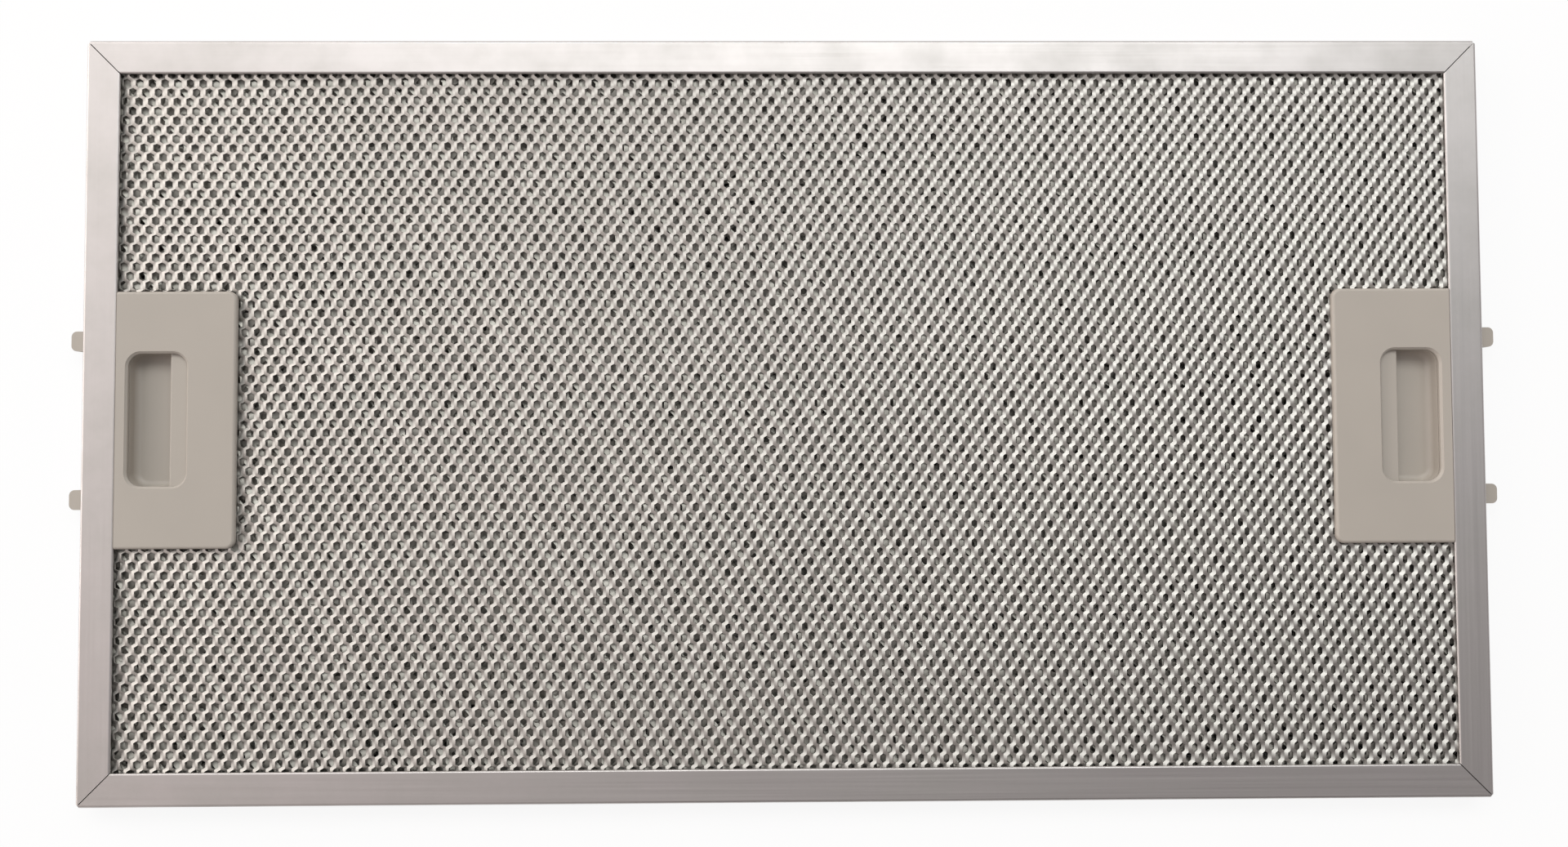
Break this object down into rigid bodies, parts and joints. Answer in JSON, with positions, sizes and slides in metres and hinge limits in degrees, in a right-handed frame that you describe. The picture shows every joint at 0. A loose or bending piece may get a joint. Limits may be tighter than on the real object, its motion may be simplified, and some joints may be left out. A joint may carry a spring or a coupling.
{
  "type": "cooker hood grease filter",
  "caption": "Flat rectangular grease filter: layered expanded aluminium mesh in a mitred channel frame, with a spring-latch finger pull at each end.",
  "frame": {"origin": "centre of the outline on the back face, on the surface that the filter lies on", "axes": "+X along the long side through both latches, +Y along the short side, +Z out of the handle side"},
  "size_m": [0.47, 0.25, 0.0094],
  "materials": {
    "frame_aluminium": "satin anodised",
    "mesh_aluminium": "mill finish, expanded",
    "layer_foil": "bright foil, expanded",
    "handle_plastic": "moulded, fine texture",
    "spring_steel": "zinc plated"
  },
  "bodies": {
    "filter": {"frame": "frame_aluminium", "front_mesh": "mesh_aluminium", "back_mesh": "mesh_aluminium", "filter_layer_1": "layer_foil", "filter_layer_2": "layer_foil", "filter_layer_3": "layer_foil", "filter_layer_4": "layer_foil", "filter_layer_5": "layer_foil", "filter_layer_6": "layer_foil", "left_handle_base": "handle_plastic", "left_handle_cover": "handle_plastic", "left_spring_upper": "spring_steel", "left_spring_lower": "spring_steel", "right_handle_base": "handle_plastic", "right_handle_cover": "handle_plastic", "right_spring_upper": "spring_steel", "right_spring_lower": "spring_steel"},
    "left_latch": {"left_latch_slider": "handle_plastic"},
    "right_latch": {"right_latch_slider": "handle_plastic"}
  },
  "joints": [
    {"name": "left_latch_slide", "type": "slide", "parent": "filter", "child": "left_latch", "axis": [1, 0, 0], "range_m": [0, 0.0052], "stiffness_N_per_m": 600, "springref_m": -0.006, "deforming": ["left_spring_upper", "left_spring_lower"]},
    {"name": "right_latch_slide", "type": "slide", "parent": "filter", "child": "right_latch", "axis": [-1, 0, 0], "range_m": [0, 0.0052], "stiffness_N_per_m": 600, "springref_m": -0.006, "deforming": ["right_spring_upper", "right_spring_lower"]}
  ]
}
